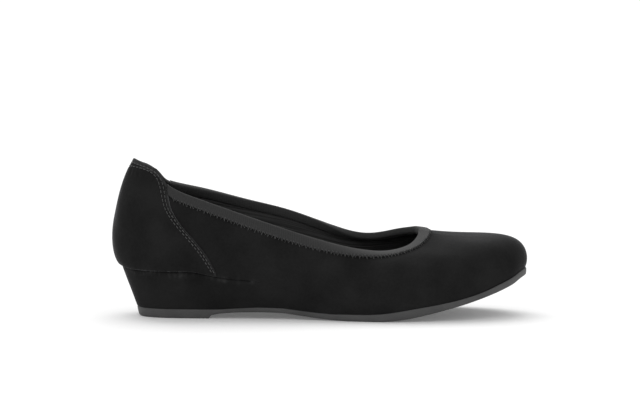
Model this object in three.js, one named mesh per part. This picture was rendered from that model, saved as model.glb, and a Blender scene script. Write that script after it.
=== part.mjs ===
// Right ballet flat on a low covered wedge, in millimetres.
// +X runs from the heel to the toe, +Y from the lateral to the medial side, +Z up from the floor.
import * as THREE from 'three';

// Driving dimensions
const length = 252;
const ballWidth = 88;
const seatHeight = 28.3;
const backHeight = 95;
const throatHeight = 50.6;
const toeSpring = 23.4;
const archLift = 4;
const heelTread = 5.5;
const foreThickness = 4.2;
const heelSlant = 9.5;
const soleRounding = 1.2;
const upperWall = 1.8;
const overlayThickness = 1.1;
const bandThickness = 1;
const bandWidth = 7;
const bandInnerWidth = 5.4;
const insoleThickness = 2.2;
const clearance = 0.3;

// Stations run round the shoe: 0 at the heel back, 15 at the toe, lateral side first,
// and from 15 back to 30 along the medial side.
const toeStation = 15;
const roundStations = 2 * toeStation;
const wedgeFront = 7.75;
const treadFront = 4.1;
const treadRamp = 0.08;

function table(columns, rows) {
  const names = columns.split(' ');
  return rows.map((row) => Object.fromEntries(names.map((name, i) => [name, row[i]])));
}

// Plan line where the upper meets what lies under it: shares of the length and of the ball width.
const featherLine = table('station lateralX lateralY medialX medialY', [
  [0, 0.019, 0, 0.019, 0],
  [1, 0.033, -0.148, 0.033, 0.148],
  [2, 0.073, -0.250, 0.073, 0.244],
  [3, 0.135, -0.302, 0.135, 0.291],
  [4, 0.222, -0.318, 0.218, 0.300],
  [5, 0.317, -0.327, 0.310, 0.286],
  [6, 0.413, -0.352, 0.401, 0.282],
  [7, 0.504, -0.411, 0.492, 0.318],
  [8, 0.587, -0.475, 0.579, 0.386],
  [9, 0.667, -0.507, 0.663, 0.455],
  [10, 0.746, -0.493, 0.746, 0.484],
  [11, 0.821, -0.442, 0.825, 0.461],
  [12, 0.893, -0.351, 0.897, 0.398],
  [13, 0.952, -0.216, 0.956, 0.280],
  [14, 0.987, -0.057, 0.990, 0.148],
  [15, 0.998, 0.051, 0.998, 0.051],
]);

// Edge of the upper's wall at the collar. Heights are shares of the drop from the heel top to the throat.
const collarLine = table('station lateralX lateralY lateralDrop medialX medialY medialDrop', [
  [0, 0.053, 0, 0.992, 0.053, 0, 0.992],
  [1, 0.068, -0.088, 0.962, 0.068, 0.089, 0.932],
  [2, 0.096, -0.152, 0.892, 0.096, 0.154, 0.836],
  [2.5, 0.115, -0.180, 0.800, 0.115, 0.182, 0.722],
  [2.75, 0.126, -0.193, 0.706, 0.126, 0.194, 0.668],
  [3, 0.137, -0.204, 0.642, 0.139, 0.204, 0.636],
  [4, 0.214, -0.239, 0.455, 0.216, 0.243, 0.532],
  [5, 0.317, -0.273, 0.252, 0.310, 0.277, 0.387],
  [6, 0.417, -0.300, 0.063, 0.401, 0.301, 0.252],
  [7, 0.508, -0.320, -0.095, 0.488, 0.318, 0.090],
  [8, 0.587, -0.323, -0.198, 0.563, 0.318, -0.058],
  [9, 0.651, -0.295, -0.236, 0.615, 0.314, -0.108],
  [10, 0.698, -0.220, -0.205, 0.657, 0.300, -0.083],
  [11, 0.724, -0.132, -0.151, 0.692, 0.264, -0.036],
  [12, 0.738, -0.045, -0.085, 0.717, 0.216, -0.007],
  [13, 0.743, 0.017, -0.038, 0.733, 0.166, 0.013],
  [14, 0.744, 0.051, -0.011, 0.740, 0.119, 0.011],
  [15, 0.744, 0.085, 0.004, 0.744, 0.085, 0.004],
]);

// Side shape of the wall from feather to collar, as four guides on the way up.
// up: share of the wall's height, in: share of the plan way to the collar, out: share of the ball width.
const wallShape = table('station lowUp lowOut midUp midOut midIn fullUp fullOut fullIn nearUp nearIn', [
  [0, 0.07, 0.040, 0.28, 0.062, 0.00, 0.56, 0.024, 0.00, 0.86, 0.34],
  [2, 0.08, 0.036, 0.29, 0.056, 0.00, 0.58, 0.030, 0.04, 0.82, 0.50],
  [3, 0.10, 0.030, 0.32, 0.048, 0.00, 0.60, 0.030, 0.08, 0.84, 0.55],
  [5, 0.14, 0.020, 0.40, 0.036, 0.00, 0.68, 0.022, 0.16, 0.88, 0.60],
  [7, 0.15, 0.022, 0.42, 0.032, 0.00, 0.74, 0.012, 0.24, 0.92, 0.62],
  [9, 0.18, 0.024, 0.48, 0.020, 0.00, 0.86, 0.000, 0.36, 0.96, 0.72],
  [11, 0.20, 0.022, 0.60, 0.016, 0.02, 0.86, 0.000, 0.28, 0.94, 0.65],
  [13, 0.22, 0.022, 0.67, 0.018, 0.01, 0.93, 0.000, 0.22, 0.88, 0.62],
  [15, 0.17, 0.024, 0.67, 0.018, 0.00, 0.98, 0.000, 0.23, 0.82, 0.66],
]);

// Height of the seat under the upper: shares of the heel seat above the forefoot and of the toe spring.
const seatLine = table('x heel toe', [
  [0.019, 1.085, 0],
  [0.037, 1.042, 0],
  [0.090, 1.008, 0],
  [0.190, 0.994, 0],
  [0.225, 0.930, 0],
  [0.253, 0.868, 0],
  [0.287, 0.822, 0],
  [0.330, 0.778, 0],
  [0.390, 0.660, 0],
  [0.448, 0.490, 0],
  [0.500, 0.290, 0],
  [0.540, 0.115, 0],
  [0.575, 0.015, 0],
  [0.610, 0.000, 0],
  [0.650, 0.000, 0.020],
  [0.690, 0.000, 0.080],
  [0.740, 0.000, 0.170],
  [0.790, 0.000, 0.258],
  [0.835, 0.000, 0.355],
  [0.885, 0.000, 0.500],
  [0.932, 0.000, 0.690],
  [0.963, 0.000, 0.826],
  [1.000, 0.000, 1.000],
]);

// Underside of the unit sole in front of the heel tread: shares of the arch lift and of the toe spring.
const underLine = table('x arch toe', [
  [0.236, 0.52, 0],
  [0.260, 0.74, 0],
  [0.308, 0.95, 0],
  [0.356, 1.00, 0],
  [0.404, 0.94, 0],
  [0.452, 0.60, 0],
  [0.500, 0.25, 0],
  [0.545, 0.04, 0],
  [0.567, 0.00, 0],
  [0.647, 0.00, 0],
  [0.672, 0.00, 0.020],
  [0.710, 0.00, 0.072],
  [0.760, 0.00, 0.182],
  [0.800, 0.00, 0.285],
  [0.846, 0.00, 0.410],
  [0.906, 0.00, 0.605],
  [0.963, 0.00, 0.825],
  [1.000, 0.00, 1.000],
]);

// Top of the unit sole under the wedge, as shares of the arch lift above the heel tread.
const unitTop = table('x rise', [
  [0.040, 0],
  [0.240, 0.02],
  [0.300, 0.22],
  [0.356, 0.38],
  [0.404, 0.32],
  [0.452, 0.02],
  [0.500, -0.25],
  [0.560, -0.42],
]);

// How far the wedge and sole stand inside the feather line at their lower edge.
const soleInset = table('station inset', [
  [0, 1.00],
  [1, 0.84],
  [2, 0.52],
  [3, 0.30],
  [4, 0.20],
  [5, 0.13],
  [6, 0.06],
  [7, 0.00],
  [9, -0.06],
  [12, -0.08],
  [15, -0.10],
]);

// A smooth curve through a column: a natural cubic spline.
function spline(keys, values) {
  const last = keys.length - 1;
  const carry = new Array(last + 1).fill(0);
  const bend = new Array(last + 1).fill(0);
  for (let i = 1; i < last; i += 1) {
    const before = keys[i] - keys[i - 1];
    const after = keys[i + 1] - keys[i];
    const turn = (values[i + 1] - values[i]) / after - (values[i] - values[i - 1]) / before;
    const pivot = 2 * (before + after) - before * carry[i - 1];
    carry[i] = after / pivot;
    bend[i] = (6 * turn - before * bend[i - 1]) / pivot;
  }
  for (let i = last - 1; i > 0; i -= 1) {
    bend[i] -= carry[i] * bend[i + 1];
  }
  return (key) => {
    let i = 0;
    while (i < last - 1 && key > keys[i + 1]) {
      i += 1;
    }
    const width = keys[i + 1] - keys[i];
    const b = (key - keys[i]) / width;
    const a = 1 - b;
    const curve = (a ** 3 - a) * bend[i] + (b ** 3 - b) * bend[i + 1];
    return a * values[i] + b * values[i + 1] + curve * width * width / 6;
  };
}

// A curve through a column that never runs past its neighbours, level outside the table.
function steady(rows, keyName, name) {
  const keys = rows.map((row) => row[keyName]);
  const values = rows.map((row) => row[name]);
  const last = keys.length - 1;
  const slopes = keys.map((key, i) => {
    if (i === 0 || i === last) {
      return 0;
    }
    const before = (values[i] - values[i - 1]) / (keys[i] - keys[i - 1]);
    const after = (values[i + 1] - values[i]) / (keys[i + 1] - keys[i]);
    return before * after > 0 ? 2 * before * after / (before + after) : 0;
  });
  return (key) => {
    const at = THREE.MathUtils.clamp(key, keys[0], keys[last]);
    let i = 0;
    while (i < last - 1 && at > keys[i + 1]) {
      i += 1;
    }
    const width = keys[i + 1] - keys[i];
    const t = (at - keys[i]) / width;
    const rise = t * t * (3 - 2 * t);
    const start = t * (1 - t) * (1 - t) * slopes[i] * width;
    const end = t * t * (t - 1) * slopes[i + 1] * width;
    return values[i] + (values[i + 1] - values[i]) * rise + start + end;
  };
}

// A column pair that runs on round the shoe, lateral rows first and medial rows on the way back.
function roundCurve(rows, lateralName, medialName) {
  const laps = [];
  rows.forEach((row) => {
    laps.push([row.station, row[lateralName]]);
    laps.push([roundStations + row.station, row[lateralName]]);
    laps.push([-row.station, row[medialName]]);
    laps.push([roundStations - row.station, row[medialName]]);
  });
  laps.sort((a, b) => a[0] - b[0]);
  const kept = laps.filter((lap, i) => i === 0 || lap[0] - laps[i - 1][0] > 1e-6);
  return spline(kept.map((lap) => lap[0]), kept.map((lap) => lap[1]));
}

const seatHeel = steady(seatLine, 'x', 'heel');
const seatToe = steady(seatLine, 'x', 'toe');
const underArch = steady(underLine, 'x', 'arch');
const underToe = steady(underLine, 'x', 'toe');
const unitRise = steady(unitTop, 'x', 'rise');
const insetShare = steady(soleInset, 'station', 'inset');

function seatZ(x) {
  const share = x / length;
  return foreThickness + (seatHeight - foreThickness) * seatHeel(share) + toeSpring * seatToe(share);
}

function underZ(x) {
  const share = x / length;
  return archLift * underArch(share) + toeSpring * underToe(share);
}

function unitTopZ(x) {
  return heelTread + archLift * unitRise(x / length);
}

const featherX = roundCurve(featherLine, 'lateralX', 'medialX');
const featherY = roundCurve(featherLine, 'lateralY', 'medialY');
const collarX = roundCurve(collarLine, 'lateralX', 'medialX');
const collarY = roundCurve(collarLine, 'lateralY', 'medialY');
const collarDrop = roundCurve(collarLine, 'lateralDrop', 'medialDrop');
const shapeNames = Object.keys(wallShape[0]).filter((name) => name !== 'station');
const shapeCurves = Object.fromEntries(shapeNames.map((name) => [name, roundCurve(wallShape, name, name)]));

function feather(station) {
  const x = featherX(station) * length;
  return new THREE.Vector3(x, featherY(station) * ballWidth, seatZ(x) + clearance);
}

function collar(station) {
  const z = throatHeight + (backHeight - throatHeight) * collarDrop(station);
  return new THREE.Vector3(collarX(station) * length, collarY(station) * ballWidth, z);
}

function outward(station) {
  const step = 0.02;
  const along = feather(station + step).sub(feather(station - step));
  return new THREE.Vector3(along.y, -along.x, 0).normalize();
}

// The guides of the wall at one station, feather first.
function guides(station) {
  const low = feather(station);
  const high = collar(station);
  const out = outward(station);
  const shape = (name) => shapeCurves[name](station);
  const guide = (up, across, reach) => {
    const point = low.clone().lerp(high, across);
    point.z = THREE.MathUtils.lerp(low.z, high.z, up);
    return point.addScaledVector(out, reach * ballWidth);
  };
  return [
    low,
    guide(shape('lowUp'), 0, shape('lowOut')),
    guide(shape('midUp'), shape('midIn'), shape('midOut')),
    guide(shape('fullUp'), shape('fullIn'), shape('fullOut')),
    guide(shape('nearUp'), shape('nearIn'), 0),
    high,
  ];
}

// A clamped cubic curve over six guides.
const guideKnots = [0, 0, 0, 0, 1, 2, 3, 3, 3, 3];
const guideDegree = 3;

function alongGuides(points, share) {
  const t = THREE.MathUtils.clamp(share, 0, 1) * 3;
  const span = Math.min(Math.floor(t), 2) + guideDegree;
  const work = points.slice(span - guideDegree, span + 1).map((point) => point.clone());
  for (let level = 1; level <= guideDegree; level += 1) {
    for (let i = guideDegree; i >= level; i -= 1) {
      const low = guideKnots[span - guideDegree + i];
      const high = guideKnots[span + 1 + i - level];
      work[i].lerpVectors(work[i - 1], work[i], (t - low) / (high - low));
    }
  }
  return work[guideDegree];
}

const guideCache = new Map();

function surface(station, share) {
  if (!guideCache.has(station)) {
    guideCache.set(station, guides(station));
  }
  return alongGuides(guideCache.get(station), share);
}

// Outward direction of the wall. It lies level at the feather, so that the lower rim is flat.
function wallNormal(station, share) {
  const step = 0.02;
  const round = surface(station + step, share).sub(surface(station - step, share));
  const below = Math.max(share - step, 0);
  const above = Math.min(share + step, 1);
  const rise = surface(station, above).sub(surface(station, below));
  const normal = round.cross(rise).normalize();
  const level = THREE.MathUtils.smoothstep(share, 0, 0.15);
  normal.z *= level;
  return normal.normalize();
}

// A point beside the wall: offset outward from it and, at the collar, rise past its edge.
function beside(station, share, offset, rise = 0) {
  const point = surface(station, share).addScaledVector(wallNormal(station, share), offset);
  if (rise > 0) {
    const edge = surface(station, 1).sub(surface(station, 0.96)).normalize();
    point.addScaledVector(edge, rise);
  }
  return point;
}

// Share of the way up at which the wall is a given distance below the collar.
function shareBelowCollar(station, distance) {
  const steps = 60;
  let share = 1;
  let walked = 0;
  let here = surface(station, 1);
  while (walked < distance && share > 0) {
    const next = surface(station, share - 1 / steps);
    const stride = next.distanceTo(here);
    if (walked + stride >= distance) {
      return share - (distance - walked) / stride / steps;
    }
    walked += stride;
    share -= 1 / steps;
    here = next;
  }
  return share;
}

// Triangle mesh over a grid of points. Rows or columns that close on themselves are named.
class GridMesh {
  constructor() {
    this.points = [];
    this.faces = [];
  }

  add(grid) {
    return grid.map((row) => row.map((point) => {
      this.points.push(point.x, point.y, point.z);
      return this.points.length / 3 - 1;
    }));
  }

  face(a, b, c) {
    if (a !== b && b !== c && c !== a) {
      this.faces.push(a, b, c);
    }
  }

  skin(ids, closedRows = false, closedColumns = false) {
    const rowCount = ids.length;
    const columnCount = ids[0].length;
    for (let i = 0; i < (closedRows ? rowCount : rowCount - 1); i += 1) {
      for (let j = 0; j < (closedColumns ? columnCount : columnCount - 1); j += 1) {
        const a = ids[i][j];
        const b = ids[i][(j + 1) % columnCount];
        const c = ids[(i + 1) % rowCount][(j + 1) % columnCount];
        const d = ids[(i + 1) % rowCount][j];
        this.face(a, b, c);
        this.face(a, c, d);
      }
    }
  }

  mesh(name, material) {
    const geometry = new THREE.BufferGeometry();
    geometry.setAttribute('position', new THREE.Float32BufferAttribute(this.points, 3));
    geometry.setIndex(this.faces);
    geometry.computeVertexNormals();
    const mesh = new THREE.Mesh(geometry, material);
    mesh.name = name;
    return mesh;
  }
}

function spread(start, end, count) {
  return Array.from({ length: count + 1 }, (unused, i) => start + (end - start) * i / count);
}

// A section carried round the shoe, as a loop of points at each station. Where it ends, each end is
// capped between the loop's outer points, which come first, and its inner ones.
function carriedLoop(name, material, loopRows, outerCount = 0) {
  const body = new GridMesh();
  const ids = body.add([...loopRows].reverse());
  const closed = outerCount === 0;
  body.skin(ids, closed, true);
  if (!closed) {
    const cap = (loop, flip) => {
      zip(body, loop.slice(0, outerCount), loop.slice(outerCount).reverse(), flip);
    };
    cap(ids[0], false);
    cap(ids[ids.length - 1], true);
  }
  return body.mesh(name, material);
}

const suede = { color: 0x1c1c1e, roughness: 0.95, metalness: 0 };
const upperSuede = new THREE.MeshStandardMaterial(suede);
const counterSuede = new THREE.MeshStandardMaterial(suede);
const wedgeSuede = new THREE.MeshStandardMaterial(suede);
const elastic = new THREE.MeshStandardMaterial({ color: 0x2e2e30, roughness: 0.85, metalness: 0 });
const rubber = new THREE.MeshStandardMaterial({ color: 0x3c3c3e, roughness: 0.75, metalness: 0 });
const sockLining = new THREE.MeshStandardMaterial({ color: 0x1a1a1a, roughness: 0.8, metalness: 0 });

// Upper: the outer face from feather to collar, then the inner face down again.
function makeUpper() {
  const columns = 96;
  const outer = spread(0, 1, 13);
  const inner = spread(1, 0, 10);
  const loops = [];
  for (let i = 0; i < columns; i += 1) {
    const station = roundStations * i / columns;
    const outside = outer.map((share) => beside(station, share, 0));
    const inside = inner.map((share) => beside(station, share, -upperWall));
    loops.push([...outside, ...inside]);
  }
  return carriedLoop('upper', upperSuede, loops);
}

// Front edge of the counter overlay: the station it reaches at each share of the way up.
const counterFront = steady(table('share station', [
  [0, 4.32],
  [0.2, 4.14],
  [0.45, 3.76],
  [0.7, 3.3],
  [0.88, 3.0],
  [1, 2.9],
]), 'share', 'station');

// Counter: a patch over the heel that stands off the upper by the clearance.
function makeCounter() {
  const columns = 28;
  const rows = spread(0.004, 1, 13);
  const loops = [];
  for (let i = 0; i <= columns; i += 1) {
    const side = 2 * i / columns - 1;
    const place = (share, offset) => beside(side * counterFront(share), share, offset);
    const outside = rows.map((share) => place(share, clearance + overlayThickness));
    const inside = [...rows].reverse().map((share) => place(share, clearance));
    loops.push([...outside, ...inside]);
  }
  return carriedLoop('counter', counterSuede, loops, rows.length);
}

// Binding: a U section folded over the collar, from one counter edge round the throat to the other.
function makeBinding() {
  const columns = 80;
  const near = clearance;
  const far = clearance + bandThickness;
  const innerNear = -upperWall - near;
  const innerFar = -upperWall - far;
  const depth = bandWidth - far;
  const innerDepth = bandInnerWidth - far;
  const bevel = 0.35 * far;
  const section = table('offset depth rise', [
    [far, depth, 0],
    [far, 0.67 * depth, 0],
    [far, 0.33 * depth, 0],
    [far, 0, 0],
    [far - bevel, 0, far - bevel],
    [bevel, 0, far],
    [-upperWall - bevel, 0, far],
    [innerFar + bevel, 0, far - bevel],
    [innerFar, 0, 0],
    [innerFar, 0.5 * innerDepth, 0],
    [innerFar, innerDepth, 0],
    [innerNear, innerDepth, 0],
    [innerNear, 0.5 * innerDepth, 0],
    [innerNear, 0, near],
    [near, 0, near],
    [near, 0.33 * depth, 0],
    [near, 0.67 * depth, 0],
    [near, depth, 0],
  ]);
  const outerCount = 11;
  const gapStations = 0.03;
  const loops = [];
  for (let i = 0; i <= columns; i += 1) {
    loops.push(section.map(({ offset, depth: below, rise }) => {
      const end = counterFront(shareBelowCollar(3, below)) + gapStations;
      const station = end + (roundStations - 2 * end) * i / columns;
      return beside(station, shareBelowCollar(station, below), offset, rise);
    }));
  }
  return carriedLoop('collar_binding', elastic, loops, outerCount);
}

// Cross lines of a flat piece, from the lateral to the medial edge at the same station count.
function slab(name, material, stations, across, edges) {
  const body = new GridMesh();
  const topGrid = [];
  const bottomGrid = [];
  const wallLevels = edges.wall.length;
  stations.forEach((station) => {
    const lateral = edges.wall.map((level) => level(station));
    const medial = edges.wall.map((level) => level(roundStations - station));
    const fill = (from, to, height) => spread(0, 1, across).map((share) => {
      const point = from.clone().lerp(to, share);
      point.z = height(point.x, station);
      return point;
    });
    topGrid.push({ row: fill(lateral[0], medial[0], edges.top), lateral, medial });
    bottomGrid.push(fill(lateral[wallLevels - 1], medial[wallLevels - 1], edges.bottom));
  });
  const loops = topGrid.map(({ row, lateral, medial }, i) => {
    const down = medial.slice(1, wallLevels - 1);
    const up = lateral.slice(1, wallLevels - 1).reverse();
    return [...row, ...down, ...bottomGrid[i].reverse(), ...up];
  });
  const ids = body.add(loops.reverse());
  body.skin(ids, false, true);
  closeEnd(body, ids[0], across, false);
  closeEnd(body, ids[ids.length - 1], across, true);
  return body.mesh(name, material);
}

// Closes an end loop between its top and bottom rows.
function closeEnd(body, loop, across, flip) {
  const count = loop.length;
  const sideCount = (count - 2 * (across + 1)) / 2;
  const top = loop.slice(0, across + 1);
  const medialSide = loop.slice(across + 1, across + 1 + sideCount);
  const bottom = loop.slice(across + 1 + sideCount, 2 * across + 2 + sideCount).reverse();
  const lateralSide = loop.slice(2 * across + 2 + sideCount).reverse();
  const rows = [top];
  for (let i = 0; i < sideCount; i += 1) {
    rows.push([lateralSide[i], medialSide[i]]);
  }
  rows.push(bottom);
  for (let i = 0; i < rows.length - 1; i += 1) {
    zip(body, rows[i], rows[i + 1], flip);
  }
}

// Triangles between two rows of unlike count.
function zip(body, upper, lower, flip) {
  let i = 0;
  let j = 0;
  while (i < upper.length - 1 || j < lower.length - 1) {
    const upperShare = (i + 1) / (upper.length - 1);
    const lowerShare = (j + 1) / (lower.length - 1);
    const stepUpper = j >= lower.length - 1 || (i < upper.length - 1 && upperShare <= lowerShare);
    const corner = stepUpper ? upper[i + 1] : lower[j + 1];
    if (flip) {
      body.face(upper[i], corner, lower[j]);
    } else {
      body.face(upper[i], lower[j], corner);
    }
    if (stepUpper) {
      i += 1;
    } else {
      j += 1;
    }
  }
}

// A plan point inside the feather line by a distance.
function insideFeather(station, inset) {
  return feather(station).addScaledVector(outward(station), -inset);
}

function soleEdge(station) {
  const count = station <= toeStation ? station : roundStations - station;
  return insideFeather(station, heelSlant * insetShare(count));
}

const heelStations = [0.02, 0.25, 0.5, 0.75, 1, 1.35, 1.7, 2.1, 2.5, 3, 3.5];
const waistStations = [4.5, 5, 5.5, 6, 6.4, 6.8, 7.15, 7.45];
const foreStations = [8, 8.3, 8.7, 9.1, 9.5, 9.9, 10.3, 10.7, 11.1, 11.55];
const toeStations = [12, 12.4, 12.8, 13.2, 13.6, 13.9, 14.2, 14.5, 14.75, 14.98];

// Wedge: from the seat down to the unit sole, slanting in at the back.
function makeWedge() {
  const stations = [...heelStations, 4, ...waistStations, wedgeFront];
  const foot = (x) => unitTopZ(x) + clearance;
  const level = (share) => (station) => {
    const top = feather(station);
    const bottom = soleEdge(station);
    const point = top.clone().lerp(bottom, share);
    const hollow = Math.sin(Math.PI * share) * 0.02 * bottom.distanceTo(top);
    point.addScaledVector(outward(station), -hollow);
    point.z = THREE.MathUtils.lerp(seatZ(point.x), foot(point.x), share);
    return point;
  };
  const edges = { wall: [level(0), level(0.33), level(0.67), level(1)], top: seatZ, bottom: foot };
  return slab('wedge', wedgeSuede, stations, 4, edges);
}

// Outsole: under the wedge its top follows the unit sole, in front of it the seat of the upper.
function makeOutsole() {
  const step = 0.02;
  const front = wedgeFront + step;
  const stations = [
    ...heelStations, 4, treadFront, treadFront + treadRamp, ...waistStations, wedgeFront, front,
    ...foreStations, ...toeStations,
  ];
  const top = (x, station) => (station < front - step / 2 ? unitTopZ(x) : seatZ(x));
  const bottom = (x, station) => (station <= treadFront ? 0 : underZ(x));
  const countOf = (station) => (station <= toeStation ? station : roundStations - station);
  const level = (inset, share) => (station) => {
    const point = insideFeather(station, heelSlant * insetShare(countOf(station)) + inset);
    const count = countOf(station);
    point.z = THREE.MathUtils.lerp(bottom(point.x, count), top(point.x, count), share);
    return point;
  };
  const edges = {
    wall: [level(0, 1), level(0.15 * soleRounding, 0.35), level(soleRounding, 0)],
    top,
    bottom,
  };
  return slab('outsole', rubber, stations, 4, edges);
}

// Insole: lies on the wedge and sole inside the upper's wall.
function makeInsole() {
  const stations = [...heelStations, 4, ...waistStations, wedgeFront, ...foreStations, ...toeStations];
  const inset = upperWall + clearance + 0.2;
  const under = (x) => seatZ(x) + clearance;
  const over = (x) => seatZ(x) + clearance + insoleThickness;
  const level = (height, extra) => (station) => {
    const point = insideFeather(station, inset + extra);
    point.z = height(point.x);
    return point;
  };
  const edges = { wall: [level(over, 0.4), level(under, 0)], top: over, bottom: under };
  return slab('insole', sockLining, stations, 4, edges);
}

const shoe = new THREE.Group();
shoe.add(makeOutsole(), makeWedge(), makeUpper(), makeCounter(), makeBinding(), makeInsole());

// The origin lies on the floor in the middle of the shoe's box.
const box = new THREE.Box3().setFromObject(shoe);
const middle = box.getCenter(new THREE.Vector3());
shoe.children.forEach((mesh) => mesh.position.set(-middle.x, -middle.y, 0));

export default shoe;
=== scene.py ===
"""Looks of a right ballet flat: suede upper on a low covered wedge, ribbed elastic topline, rubber sole.

Lengths are in millimetres until a mesh is written, when they become metres in the frame's own place.
"""
import math

import bpy
import numpy as np
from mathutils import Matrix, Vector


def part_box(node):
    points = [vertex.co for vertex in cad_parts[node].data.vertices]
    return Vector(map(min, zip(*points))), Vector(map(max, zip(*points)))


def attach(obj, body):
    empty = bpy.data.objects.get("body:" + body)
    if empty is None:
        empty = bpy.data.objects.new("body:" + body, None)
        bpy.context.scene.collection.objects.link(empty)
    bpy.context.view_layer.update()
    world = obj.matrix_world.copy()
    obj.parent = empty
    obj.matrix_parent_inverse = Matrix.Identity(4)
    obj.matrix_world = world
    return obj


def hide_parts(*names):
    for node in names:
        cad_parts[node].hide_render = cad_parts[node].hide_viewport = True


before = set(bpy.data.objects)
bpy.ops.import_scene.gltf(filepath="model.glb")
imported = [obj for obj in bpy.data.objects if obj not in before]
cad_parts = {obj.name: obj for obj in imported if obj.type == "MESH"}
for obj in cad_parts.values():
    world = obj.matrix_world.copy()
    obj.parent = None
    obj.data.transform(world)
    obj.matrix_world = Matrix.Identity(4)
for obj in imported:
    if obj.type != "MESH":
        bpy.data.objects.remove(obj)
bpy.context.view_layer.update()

# Driving sizes of the shoe
LENGTH = 252.0
BALL_WIDTH = 88.0
SEAT_HEIGHT = 28.3
BACK_HEIGHT = 95.0
THROAT_HEIGHT = 50.6
TOE_SPRING = 23.4
ARCH_LIFT = 4.0
HEEL_TREAD = 5.5
FORE_THICKNESS = 4.2
HEEL_SLANT = 9.5
UPPER_WALL = 1.8
OVERLAY = 1.1
BAND_THICKNESS = 1.0
BAND_WIDTH = 7.0
BAND_INNER_WIDTH = 5.4
INSOLE_THICKNESS = 2.2
CLEARANCE = 0.3

# Stations run round the shoe: 0 at the heel back, 15 at the toe, lateral side first.
# From one to the next it is about STATION_LENGTH mm.
TOE_STATION = 15.0
ROUND = 2 * TOE_STATION
TREAD_FRONT = 4.1
TREAD_RAMP = 0.08
STATION_LENGTH = 19.0

# Step, in stations or in shares of the way up, over which a slope is taken
SLOPE_STEP = 0.02
# Share of the way up over which the wall's outward direction turns from level to its own tilt
LEVEL_SHARE = 0.15
# Share of the way up from which the wall's direction at the collar is taken
EDGE_SHARE = 0.96
# Shares over which the soft folds fade out, above the foot of the wall and below the collar
FOLD_FADE_FOOT = 0.12
FOLD_FADE_COLLAR = 0.04
MM_PER_METRE = 1000
MERGE_DISTANCE = 2e-6


def table(columns, rows):
    """A table with named columns, each an array."""
    grid = np.array(rows, float)
    return {name: grid[:, i] for i, name in enumerate(columns.split())}


def smooth_step(value, start, end):
    """0 up to start, 1 from end on, and a soft rise between."""
    t = np.clip((value - start) / (end - start), 0, 1)
    return t * t * (3 - 2 * t)


# The tables down to COUNTER_FRONT repeat the part's source. Some of their rows follow points measured in
# the photo.

# Plan line where the upper meets what lies under it: shares of the length and of the ball width.
FEATHER_LINE = table("station lateralX lateralY medialX medialY", [
    [0, 0.019, 0, 0.019, 0],
    [1, 0.033, -0.148, 0.033, 0.148],
    [2, 0.073, -0.250, 0.073, 0.244],
    [3, 0.135, -0.302, 0.135, 0.291],
    [4, 0.222, -0.318, 0.218, 0.300],
    [5, 0.317, -0.327, 0.310, 0.286],
    [6, 0.413, -0.352, 0.401, 0.282],
    [7, 0.504, -0.411, 0.492, 0.318],
    [8, 0.587, -0.475, 0.579, 0.386],
    [9, 0.667, -0.507, 0.663, 0.455],
    [10, 0.746, -0.493, 0.746, 0.484],
    [11, 0.821, -0.442, 0.825, 0.461],
    [12, 0.893, -0.351, 0.897, 0.398],
    [13, 0.952, -0.216, 0.956, 0.280],
    [14, 0.987, -0.057, 0.990, 0.148],
    [15, 0.998, 0.051, 0.998, 0.051],
])

# Edge of the upper's wall at the collar. Heights are shares of the drop from the heel top to the throat.
COLLAR_LINE = table("station lateralX lateralY lateralDrop medialX medialY medialDrop", [
    [0, 0.053, 0, 0.992, 0.053, 0, 0.992],
    [1, 0.068, -0.088, 0.962, 0.068, 0.089, 0.932],
    [2, 0.096, -0.152, 0.892, 0.096, 0.154, 0.836],
    [2.5, 0.115, -0.180, 0.800, 0.115, 0.182, 0.722],
    [2.75, 0.126, -0.193, 0.706, 0.126, 0.194, 0.668],
    [3, 0.137, -0.204, 0.642, 0.139, 0.204, 0.636],
    [4, 0.214, -0.239, 0.455, 0.216, 0.243, 0.532],
    [5, 0.317, -0.273, 0.252, 0.310, 0.277, 0.387],
    [6, 0.417, -0.300, 0.063, 0.401, 0.301, 0.252],
    [7, 0.508, -0.320, -0.095, 0.488, 0.318, 0.090],
    [8, 0.587, -0.323, -0.198, 0.563, 0.318, -0.058],
    [9, 0.651, -0.295, -0.236, 0.615, 0.314, -0.108],
    [10, 0.698, -0.220, -0.205, 0.657, 0.300, -0.083],
    [11, 0.724, -0.132, -0.151, 0.692, 0.264, -0.036],
    [12, 0.738, -0.045, -0.085, 0.717, 0.216, -0.007],
    [13, 0.743, 0.017, -0.038, 0.733, 0.166, 0.013],
    [14, 0.744, 0.051, -0.011, 0.740, 0.119, 0.011],
    [15, 0.744, 0.085, 0.004, 0.744, 0.085, 0.004],
])

# Side shape of the wall as four guides on the way up.
# Up: share of the wall's height. In: share of the plan way to the collar. Out: share of the ball width.
WALL_SHAPE = table("station lowUp lowOut midUp midOut midIn fullUp fullOut fullIn nearUp nearIn", [
    [0, 0.07, 0.040, 0.28, 0.062, 0.00, 0.56, 0.024, 0.00, 0.86, 0.34],
    [2, 0.08, 0.036, 0.29, 0.056, 0.00, 0.58, 0.030, 0.04, 0.82, 0.50],
    [3, 0.10, 0.030, 0.32, 0.048, 0.00, 0.60, 0.030, 0.08, 0.84, 0.55],
    [5, 0.14, 0.020, 0.40, 0.036, 0.00, 0.68, 0.022, 0.16, 0.88, 0.60],
    [7, 0.15, 0.022, 0.42, 0.032, 0.00, 0.74, 0.012, 0.24, 0.92, 0.62],
    [9, 0.18, 0.024, 0.48, 0.020, 0.00, 0.86, 0.000, 0.36, 0.96, 0.72],
    [11, 0.20, 0.022, 0.60, 0.016, 0.02, 0.86, 0.000, 0.28, 0.94, 0.65],
    [13, 0.22, 0.022, 0.67, 0.018, 0.01, 0.93, 0.000, 0.22, 0.88, 0.62],
    [15, 0.17, 0.024, 0.67, 0.018, 0.00, 0.98, 0.000, 0.23, 0.82, 0.66],
])

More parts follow.
